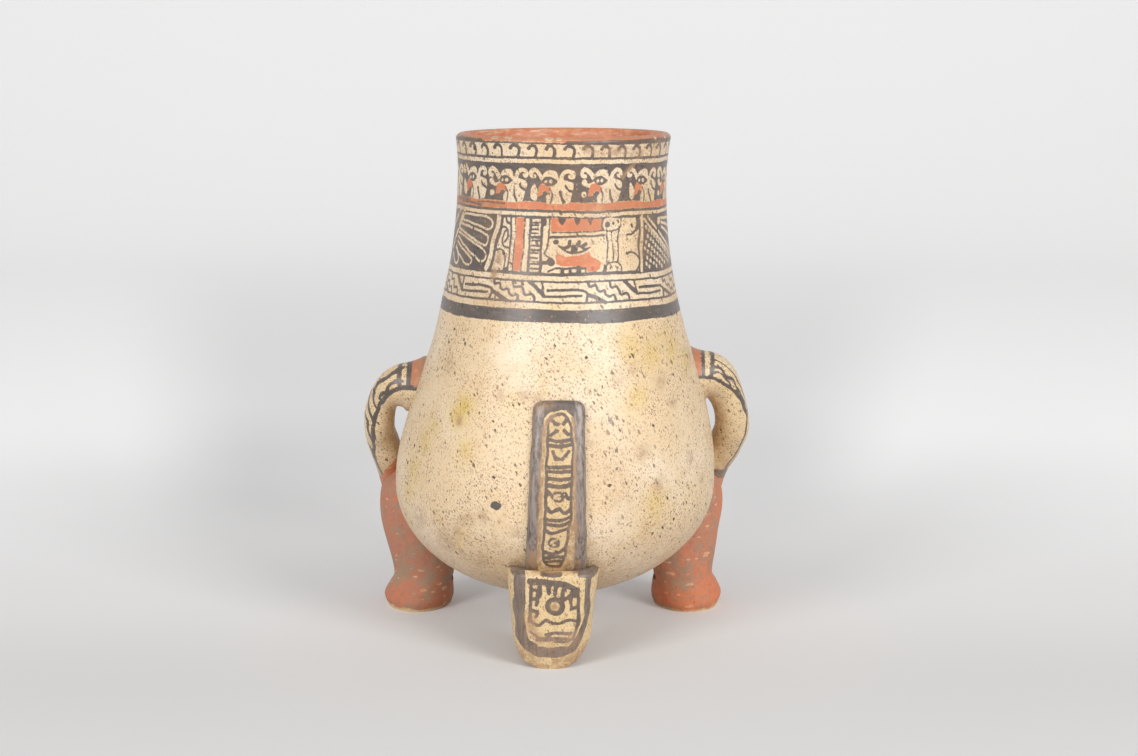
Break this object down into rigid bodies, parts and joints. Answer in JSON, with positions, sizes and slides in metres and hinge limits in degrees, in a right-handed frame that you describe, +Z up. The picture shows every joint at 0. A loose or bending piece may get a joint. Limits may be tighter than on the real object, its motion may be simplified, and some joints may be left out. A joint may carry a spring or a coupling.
{
  "type": "tripod pot",
  "caption": "Pear-shaped painted clay jar on two hollow hind legs and a tail support, with arm loops, a tail strap and a hollow cat's head; loose pellets rattle inside.",
  "frame": {"origin": "on the floor, under the middle of the whole pot's box", "axes": "+Z up along the jar, +Y towards the animal's head, tail on the -Y side, +X to the right seen from behind"},
  "size_m": [0.238, 0.2418, 0.301],
  "materials": {
    "painted_slip": "burnished cream slip with dark and orange painting, worn and speckled",
    "orange_slip": "matte orange-red slip, worn to grey-brown in patches",
    "bare_clay": "unpainted fired clay"
  },
  "bodies": {
    "pot": {"bowl": "painted_slip", "belly_wall": "painted_slip", "shoulder_wall": "painted_slip", "neck_wall": "painted_slip", "rim_lip": "orange_slip", "left_leg": "orange_slip", "right_leg": "orange_slip", "left_sole": "bare_clay", "right_sole": "bare_clay", "left_arm": "painted_slip", "right_arm": "painted_slip", "tail_strap": "painted_slip", "tail_support": "painted_slip", "head": "painted_slip", "nose": "orange_slip", "left_ear": "orange_slip", "right_ear": "orange_slip", "left_eye": "painted_slip", "right_eye": "painted_slip"},
    "left_leg_front_rattle": {"left_leg_front_pellet": "bare_clay"},
    "left_leg_back_rattle": {"left_leg_back_pellet": "bare_clay"},
    "right_leg_front_rattle": {"right_leg_front_pellet": "bare_clay"},
    "right_leg_back_rattle": {"right_leg_back_pellet": "bare_clay"},
    "head_left_rattle": {"head_left_pellet": "bare_clay"},
    "head_right_rattle": {"head_right_pellet": "bare_clay"}
  },
  "joints": [
    {"name": "left_leg_front_shake", "type": "slide", "parent": "pot", "child": "left_leg_front_rattle", "axis": [0, 0, 1], "range_m": [0, 0.05]},
    {"name": "left_leg_back_shake", "type": "slide", "parent": "pot", "child": "left_leg_back_rattle", "axis": [0, 0, 1], "range_m": [0, 0.05]},
    {"name": "right_leg_front_shake", "type": "slide", "parent": "pot", "child": "right_leg_front_rattle", "axis": [0, 0, 1], "range_m": [0, 0.05]},
    {"name": "right_leg_back_shake", "type": "slide", "parent": "pot", "child": "right_leg_back_rattle", "axis": [0, 0, 1], "range_m": [0, 0.05]},
    {"name": "head_left_shake", "type": "slide", "parent": "pot", "child": "head_left_rattle", "axis": [0, 0, 1], "range_m": [0, 0.034]},
    {"name": "head_right_shake", "type": "slide", "parent": "pot", "child": "head_right_rattle", "axis": [0, 0, 1], "range_m": [0, 0.034]}
  ]
}
